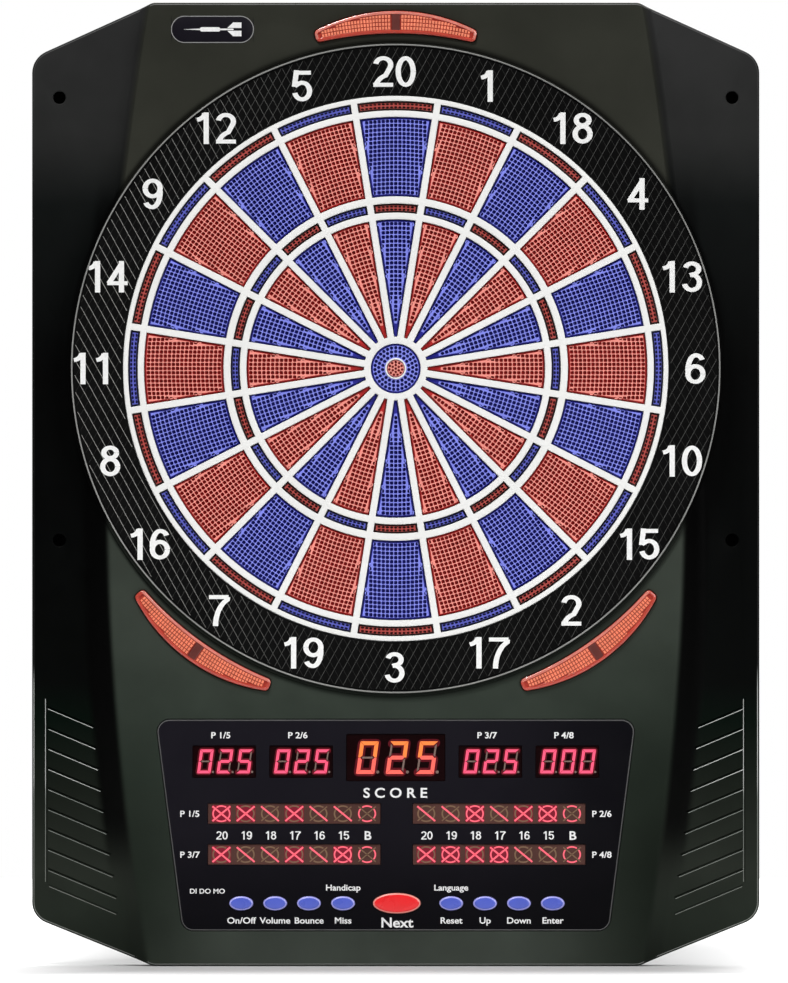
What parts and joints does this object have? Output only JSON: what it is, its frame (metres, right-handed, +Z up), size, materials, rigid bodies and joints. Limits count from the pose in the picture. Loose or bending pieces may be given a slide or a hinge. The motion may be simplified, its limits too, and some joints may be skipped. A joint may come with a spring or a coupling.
{
  "type": "electronic dartboard",
  "caption": "Wall-hung electronic dartboard: black housing, perforated red and blue target in a white grille, number ring, lamps, score displays and oval buttons.",
  "frame": {"origin": "where the axis through the bull meets the wall, on the flat back of the rear cover", "axes": "+Z up, +X to the right as the player sees it, and +Y into the wall, so the target looks along -Y"},
  "size_m": [0.465, 0.036, 0.615],
  "materials": {
    "housing_plastic": "fine satin grain, black-grey",
    "cover_plastic": "fine matte grain, black",
    "ring_plastic": "gloss black with crossed fine ridges",
    "grille_white": "satin white",
    "segment_blue": "satin periwinkle blue, perforated",
    "segment_red": "satin salmon red, perforated",
    "rubber": "matte black",
    "switch_film": "printed polyester film",
    "hardboard": "pressed fibre board",
    "circuit_board": "green solder mask",
    "lens_orange": "translucent orange-red, ribbed inside",
    "panel_gloss": "gloss black film",
    "button_blue": "satin blue",
    "button_red": "satin red",
    "display_red": "dark red display face",
    "speaker_black": "black",
    "screw_steel": "bright zinc"
  },
  "bodies": {
    "housing": {"front_housing": "housing_plastic", "rear_cover": "cover_plastic", "number_ring": "ring_plastic", "spider": "grille_white", "rubber_sheet": "rubber", "membrane_switch": "switch_film", "backing_board": "hardboard", "lamp_top_lens": "lens_orange", "lamp_top_board": "circuit_board", "lamp_right_lens": "lens_orange", "lamp_right_board": "circuit_board", "lamp_left_lens": "lens_orange", "lamp_left_board": "circuit_board", "control_panel": "panel_gloss", "display_main": "display_red", "display_player_1": "display_red", "display_player_2": "display_red", "display_player_3": "display_red", "display_player_4": "display_red", "cricket_display_left": "display_red", "cricket_display_right": "display_red", "main_board": "circuit_board", "speaker": "speaker_black", "dc_jack": "speaker_black", "rear_screw_top_left": "screw_steel", "rear_screw_top_right": "screw_steel", "rear_screw_bottom_left": "screw_steel", "rear_screw_bottom_right": "screw_steel"},
    "segments_01": {"segments_01": "segment_red"},
    "segments_02": {"segments_02": "segment_blue"},
    "segments_03": {"segments_03": "segment_blue"},
    "segments_04": {"segments_04": "segment_red"},
    "segments_05": {"segments_05": "segment_red"},
    "segments_06": {"segments_06": "segment_red"},
    "segments_07": {"segments_07": "segment_blue"},
    "segments_08": {"segments_08": "segment_blue"},
    "segments_09": {"segments_09": "segment_red"},
    "segments_10": {"segments_10": "segment_blue"},
    "segments_11": {"segments_11": "segment_red"},
    "segments_12": {"segments_12": "segment_blue"},
    "segments_13": {"segments_13": "segment_blue"},
    "segments_14": {"segments_14": "segment_blue"},
    "segments_15": {"segments_15": "segment_red"},
    "segments_16": {"segments_16": "segment_red"},
    "segments_17": {"segments_17": "segment_red"},
    "segments_18": {"segments_18": "segment_blue"},
    "segments_19": {"segments_19": "segment_red"},
    "segments_20": {"segments_20": "segment_blue"},
    "bull_outer": {"bull_outer": "segment_blue"},
    "bull_inner": {"bull_inner": "segment_red"},
    "button_on_off": {"button_on_off": "button_blue"},
    "button_volume": {"button_volume": "button_blue"},
    "button_bounce": {"button_bounce": "button_blue"},
    "button_miss": {"button_miss": "button_blue"},
    "button_next": {"button_next": "button_red"},
    "button_reset": {"button_reset": "button_blue"},
    "button_up": {"button_up": "button_blue"},
    "button_down": {"button_down": "button_blue"},
    "button_enter": {"button_enter": "button_blue"}
  },
  "joints": [
    {"name": "segments_01_press", "type": "slide", "parent": "housing", "child": "segments_01", "axis": [0, 1, 0], "range_m": [0, 0.0015], "stiffness_N_per_m": 1500, "springref_m": -0.0008},
    {"name": "segments_02_press", "type": "slide", "parent": "housing", "child": "segments_02", "axis": [0, 1, 0], "range_m": [0, 0.0015], "stiffness_N_per_m": 1500, "springref_m": -0.0008},
    {"name": "segments_03_press", "type": "slide", "parent": "housing", "child": "segments_03", "axis": [0, 1, 0], "range_m": [0, 0.0015], "stiffness_N_per_m": 1500, "springref_m": -0.0008},
    {"name": "segments_04_press", "type": "slide", "parent": "housing", "child": "segments_04", "axis": [0, 1, 0], "range_m": [0, 0.0015], "stiffness_N_per_m": 1500, "springref_m": -0.0008},
    {"name": "segments_05_press", "type": "slide", "parent": "housing", "child": "segments_05", "axis": [0, 1, 0], "range_m": [0, 0.0015], "stiffness_N_per_m": 1500, "springref_m": -0.0008},
    {"name": "segments_06_press", "type": "slide", "parent": "housing", "child": "segments_06", "axis": [0, 1, 0], "range_m": [0, 0.0015], "stiffness_N_per_m": 1500, "springref_m": -0.0008},
    {"name": "segments_07_press", "type": "slide", "parent": "housing", "child": "segments_07", "axis": [0, 1, 0], "range_m": [0, 0.0015], "stiffness_N_per_m": 1500, "springref_m": -0.0008},
    {"name": "segments_08_press", "type": "slide", "parent": "housing", "child": "segments_08", "axis": [0, 1, 0], "range_m": [0, 0.0015], "stiffness_N_per_m": 1500, "springref_m": -0.0008},
    {"name": "segments_09_press", "type": "slide", "parent": "housing", "child": "segments_09", "axis": [0, 1, 0], "range_m": [0, 0.0015], "stiffness_N_per_m": 1500, "springref_m": -0.0008},
    {"name": "segments_10_press", "type": "slide", "parent": "housing", "child": "segments_10", "axis": [0, 1, 0], "range_m": [0, 0.0015], "stiffness_N_per_m": 1500, "springref_m": -0.0008},
    {"name": "segments_11_press", "type": "slide", "parent": "housing", "child": "segments_11", "axis": [0, 1, 0], "range_m": [0, 0.0015], "stiffness_N_per_m": 1500, "springref_m": -0.0008},
    {"name": "segments_12_press", "type": "slide", "parent": "housing", "child": "segments_12", "axis": [0, 1, 0], "range_m": [0, 0.0015], "stiffness_N_per_m": 1500, "springref_m": -0.0008},
    {"name": "segments_13_press", "type": "slide", "parent": "housing", "child": "segments_13", "axis": [0, 1, 0], "range_m": [0, 0.0015], "stiffness_N_per_m": 1500, "springref_m": -0.0008},
    {"name": "segments_14_press", "type": "slide", "parent": "housing", "child": "segments_14", "axis": [0, 1, 0], "range_m": [0, 0.0015], "stiffness_N_per_m": 1500, "springref_m": -0.0008},
    {"name": "segments_15_press", "type": "slide", "parent": "housing", "child": "segments_15", "axis": [0, 1, 0], "range_m": [0, 0.0015], "stiffness_N_per_m": 1500, "springref_m": -0.0008},
    {"name": "segments_16_press", "type": "slide", "parent": "housing", "child": "segments_16", "axis": [0, 1, 0], "range_m": [0, 0.0015], "stiffness_N_per_m": 1500, "springref_m": -0.0008},
    {"name": "segments_17_press", "type": "slide", "parent": "housing", "child": "segments_17", "axis": [0, 1, 0], "range_m": [0, 0.0015], "stiffness_N_per_m": 1500, "springref_m": -0.0008},
    {"name": "segments_18_press", "type": "slide", "parent": "housing", "child": "segments_18", "axis": [0, 1, 0], "range_m": [0, 0.0015], "stiffness_N_per_m": 1500, "springref_m": -0.0008},
    {"name": "segments_19_press", "type": "slide", "parent": "housing", "child": "segments_19", "axis": [0, 1, 0], "range_m": [0, 0.0015], "stiffness_N_per_m": 1500, "springref_m": -0.0008},
    {"name": "segments_20_press", "type": "slide", "parent": "housing", "child": "segments_20", "axis": [0, 1, 0], "range_m": [0, 0.0015], "stiffness_N_per_m": 1500, "springref_m": -0.0008},
    {"name": "bull_outer_press", "type": "slide", "parent": "housing", "child": "bull_outer", "axis": [0, 1, 0], "range_m": [0, 0.0015], "stiffness_N_per_m": 1500, "springref_m": -0.0008},
    {"name": "bull_inner_press", "type": "slide", "parent": "housing", "child": "bull_inner", "axis": [0, 1, 0], "range_m": [0, 0.0015], "stiffness_N_per_m": 1500, "springref_m": -0.0008},
    {"name": "button_on_off_press", "type": "slide", "parent": "housing", "child": "button_on_off", "axis": [0, 1, 0], "range_m": [0, 0.0012], "stiffness_N_per_m": 700, "springref_m": -0.0006},
    {"name": "button_volume_press", "type": "slide", "parent": "housing", "child": "button_volume", "axis": [0, 1, 0], "range_m": [0, 0.0012], "stiffness_N_per_m": 700, "springref_m": -0.0006},
    {"name": "button_bounce_press", "type": "slide", "parent": "housing", "child": "button_bounce", "axis": [0, 1, 0], "range_m": [0, 0.0012], "stiffness_N_per_m": 700, "springref_m": -0.0006},
    {"name": "button_miss_press", "type": "slide", "parent": "housing", "child": "button_miss", "axis": [0, 1, 0], "range_m": [0, 0.0012], "stiffness_N_per_m": 700, "springref_m": -0.0006},
    {"name": "button_next_press", "type": "slide", "parent": "housing", "child": "button_next", "axis": [0, 1, 0], "range_m": [0, 0.0012], "stiffness_N_per_m": 700, "springref_m": -0.0006},
    {"name": "button_reset_press", "type": "slide", "parent": "housing", "child": "button_reset", "axis": [0, 1, 0], "range_m": [0, 0.0012], "stiffness_N_per_m": 700, "springref_m": -0.0006},
    {"name": "button_up_press", "type": "slide", "parent": "housing", "child": "button_up", "axis": [0, 1, 0], "range_m": [0, 0.0012], "stiffness_N_per_m": 700, "springref_m": -0.0006},
    {"name": "button_down_press", "type": "slide", "parent": "housing", "child": "button_down", "axis": [0, 1, 0], "range_m": [0, 0.0012], "stiffness_N_per_m": 700, "springref_m": -0.0006},
    {"name": "button_enter_press", "type": "slide", "parent": "housing", "child": "button_enter", "axis": [0, 1, 0], "range_m": [0, 0.0012], "stiffness_N_per_m": 700, "springref_m": -0.0006}
  ]
}
